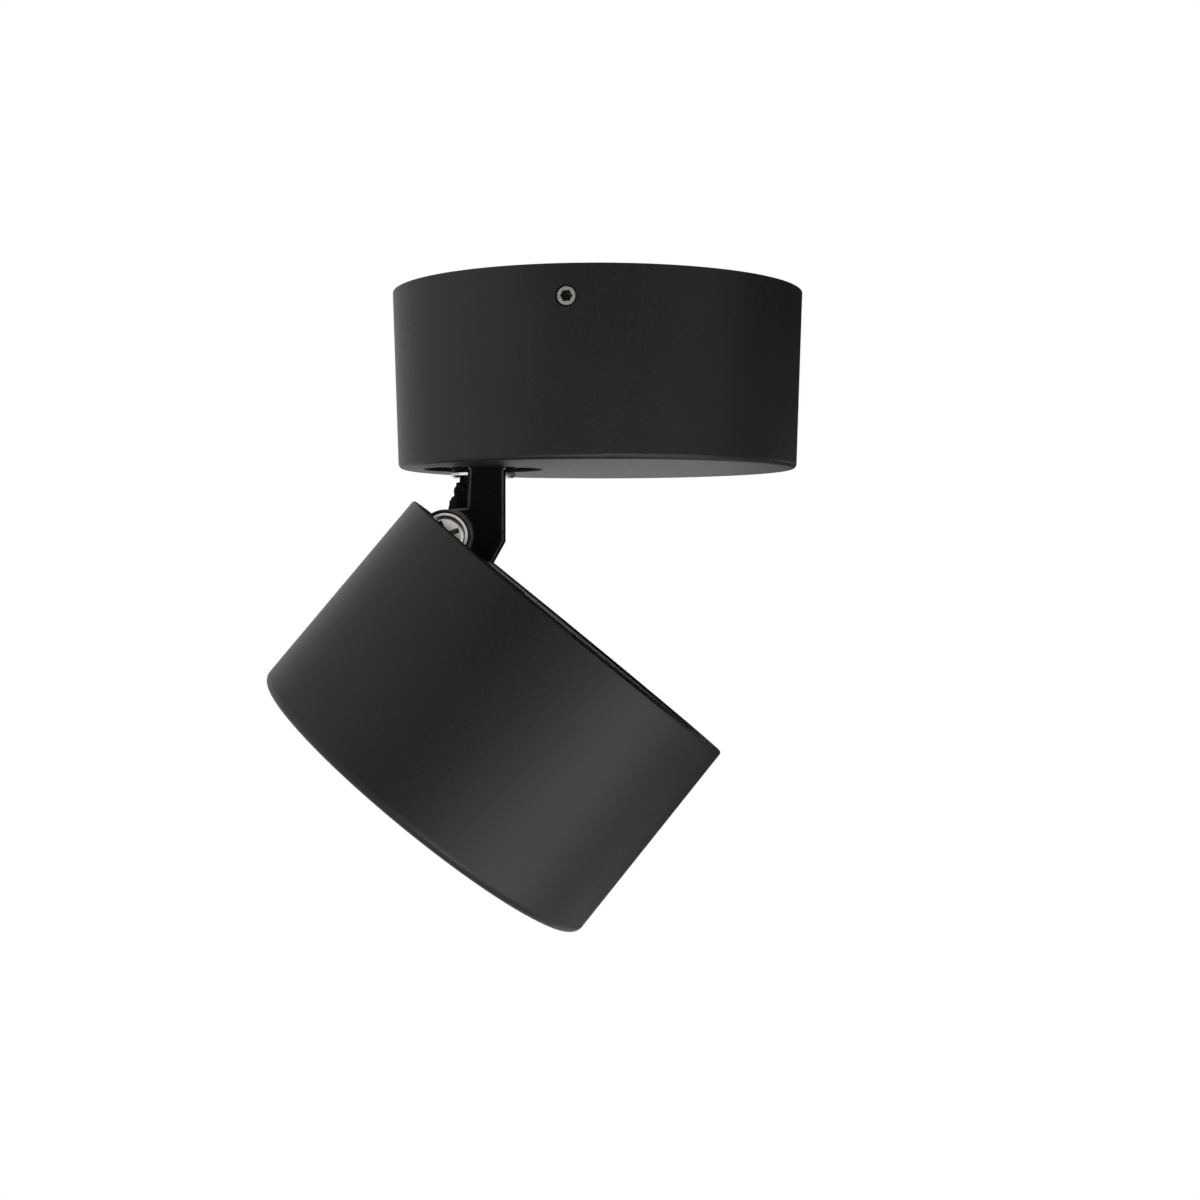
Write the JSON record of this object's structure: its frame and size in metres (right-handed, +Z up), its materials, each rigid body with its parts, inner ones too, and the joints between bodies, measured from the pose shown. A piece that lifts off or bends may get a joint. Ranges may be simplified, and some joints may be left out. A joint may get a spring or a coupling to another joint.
{
  "type": "surface mounted ceiling spotlight",
  "caption": "Surface mounted ceiling spotlight: a round canopy with a driver, a swivelling cranked arm and a round tilting LED head.",
  "frame": {"origin": "centre of the canopy's ceiling plane", "axes": "+Z up, out of the ceiling plane into the ceiling; +X from the hinge side across the canopy; +Y along the hinge pin, away from its screw head"},
  "size_m": [0.1096, 0.084, 0.1304],
  "materials": {
    "black_powder_coat": "fine textured matt black powder coat",
    "zinc_steel": "zinc plated",
    "nickel_steel": "bright nickel plated",
    "black_rubber": "matt",
    "white_plastic": "satin",
    "brass": "tinned brass",
    "green_yellow_wire": "green and yellow insulation",
    "blue_brown_wire": "blue and brown insulation",
    "driver_plastic": "fine moulded texture",
    "circuit_board": "green solder resist",
    "transformer_tape": "yellow tape",
    "capacitor_sleeve": "black sleeve",
    "ferrite": "enamelled core",
    "black_lead": "smooth insulation",
    "nylon": "natural nylon",
    "black_arm_coat": "smooth matt black",
    "braided_sleeve": "braided polyester sleeve",
    "black_screw": "black oxide",
    "black_plastic": "moulded",
    "bare_aluminium": "turned aluminium",
    "thermal_silicone": "soft grey pad",
    "white_board": "white solder resist",
    "phosphor": "yellow phosphor",
    "bright_reflector": "bright faceted",
    "clear_glass": "clear polished",
    "clear_silicone": "soft translucent",
    "black_baffle": "matt black, fine ribs"
  },
  "bodies": {
    "canopy": {"canopy_housing": "black_powder_coat", "ceiling_plate": "zinc_steel", "canopy_set_screws": "nickel_steel", "cable_grommet": "black_rubber", "terminal_block": "white_plastic", "terminal_screws": "zinc_steel", "terminal_fixing_screw": "zinc_steel", "earth_screw": "zinc_steel", "earth_tag": "brass", "earth_lead": "green_yellow_wire", "mains_leads": "blue_brown_wire", "driver_case": "driver_plastic", "driver_lid": "driver_plastic", "driver_board": "circuit_board", "driver_transformer": "transformer_tape", "driver_capacitor": "capacitor_sleeve", "driver_inductor": "ferrite", "driver_screws": "zinc_steel", "driver_lead": "black_lead", "swivel_bush": "nylon", "swivel_stop_pin": "zinc_steel"},
    "arm": {"swivel_tube": "nickel_steel", "swivel_stop_washer": "zinc_steel", "swivel_spring_washer": "zinc_steel", "swivel_nut": "zinc_steel", "hinge_arm": "black_arm_coat", "lamp_lead": "black_lead", "lead_sleeve": "braided_sleeve"},
    "head": {"head_housing": "black_powder_coat", "hinge_bracket": "black_arm_coat", "bracket_screws": "black_screw", "pivot_screw": "nickel_steel", "pivot_washer": "nickel_steel", "friction_washer": "nylon", "pivot_lock_nut": "zinc_steel", "lead_clamp": "black_plastic", "clamp_screw": "zinc_steel", "head_wires": "black_lead", "heat_spreader": "bare_aluminium", "spreader_screws": "zinc_steel", "thermal_pad": "thermal_silicone", "led_board": "white_board", "led_emitter": "phosphor", "led_holder": "white_plastic", "holder_screws": "zinc_steel", "reflector": "bright_reflector", "lens": "clear_glass", "lens_gasket": "clear_silicone", "front_baffle": "black_baffle"}
  },
  "joints": [
    {"name": "pan", "type": "hinge", "parent": "canopy", "child": "arm", "pos_m": [-0.0236, 0, -0.0355], "axis": [0, 0, 1], "range_deg": [-165, 165]},
    {"name": "tilt", "type": "hinge", "parent": "arm", "child": "head", "pos_m": [-0.031, -0.0081, -0.04945], "axis": [0, 1, 0], "range_deg": [-39.37, 50.63], "deforming": ["lead_sleeve"]}
  ]
}
